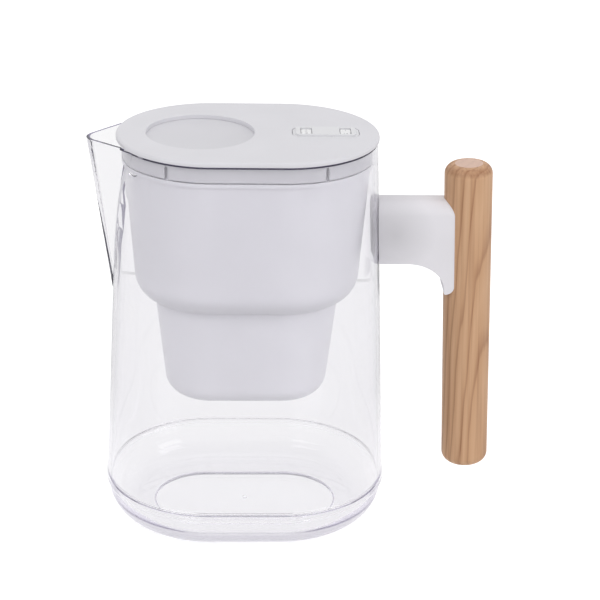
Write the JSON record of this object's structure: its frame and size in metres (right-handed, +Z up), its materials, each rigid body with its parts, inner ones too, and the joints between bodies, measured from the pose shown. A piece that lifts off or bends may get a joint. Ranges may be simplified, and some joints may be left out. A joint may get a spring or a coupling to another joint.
{
  "type": "water filter pitcher",
  "caption": "Clear water filter pitcher with a beak spout, a flat lid with a sprung fill flap and date wheels, a hanging funnel with its filter cartridge, and a wooden grip on a bracket.",
  "frame": {"origin": "centre of the flat ring that the base rests on", "axes": "+Z up, +X towards the handle, -X towards the spout"},
  "size_m": [0.2418, 0.1296, 0.2432],
  "materials": {
    "clear_plastic": "clear moulded plastic, polished, faint lavender edges",
    "lid_plastic": "pale grey-white moulded plastic, fine satin grain",
    "funnel_plastic": "white moulded plastic, semi-gloss",
    "bracket_plastic": "white moulded plastic, satin",
    "cartridge_plastic": "white moulded plastic, satin",
    "wheel_plastic": "white moulded plastic with printed grey numbers",
    "grip_wood": "pale brown beech, sanded and oiled, long straight grain",
    "seal_rubber": "translucent white silicone",
    "steel": "drawn stainless wire and turned screws",
    "mesh_cloth": "fine white woven mesh",
    "resin": "packed amber resin beads",
    "carbon": "packed black carbon granules"
  },
  "bodies": {
    "jug": {"jug_body": "clear_plastic", "jug_base": "clear_plastic", "handle_bracket": "bracket_plastic", "handle_grip": "grip_wood", "grip_screws": "steel"},
    "funnel": {"funnel": "funnel_plastic"},
    "cartridge": {"cartridge_shell": "cartridge_plastic", "cartridge_cap": "cartridge_plastic", "cartridge_seal": "seal_rubber", "lower_mesh": "mesh_cloth", "resin_bed": "resin", "carbon_bed": "carbon", "upper_mesh": "mesh_cloth"},
    "lid": {"lid_shell": "lid_plastic", "flap_pin": "steel", "flap_spring": "steel", "indicator_bezel": "lid_plastic", "indicator_housing": "lid_plastic", "wheel_axle": "steel", "housing_screws": "steel"},
    "flap": {"fill_flap": "lid_plastic"},
    "day_wheel": {"day_wheel": "wheel_plastic"},
    "month_wheel": {"month_wheel": "wheel_plastic"}
  },
  "joints": [
    {"name": "funnel_lift", "type": "slide", "parent": "jug", "child": "funnel", "axis": [0, 0, 1], "range_m": [0, 0.175]},
    {"name": "lid_lift", "type": "slide", "parent": "funnel", "child": "lid", "axis": [0, 0, 1], "range_m": [0, 0.04]},
    {"name": "cartridge_lift", "type": "slide", "parent": "funnel", "child": "cartridge", "axis": [0, 0, 1], "range_m": [0, 0.009]},
    {"name": "flap_swing", "type": "hinge", "parent": "lid", "child": "flap", "pos_m": [0.00861, 0, 0.2364], "axis": [0, -1, 0], "range_deg": [0, 70], "stiffness_Nm_per_rad": 0.0075, "springref_deg": -45.84, "deforming": ["flap_spring"]},
    {"name": "day_wheel_turn", "type": "hinge", "parent": "lid", "child": "day_wheel", "pos_m": [0.03331, 0, 0.2347], "axis": [1, 0, 0], "continuous": true},
    {"name": "month_wheel_turn", "type": "hinge", "parent": "lid", "child": "month_wheel", "pos_m": [0.05571, 0, 0.2347], "axis": [1, 0, 0], "continuous": true}
  ]
}
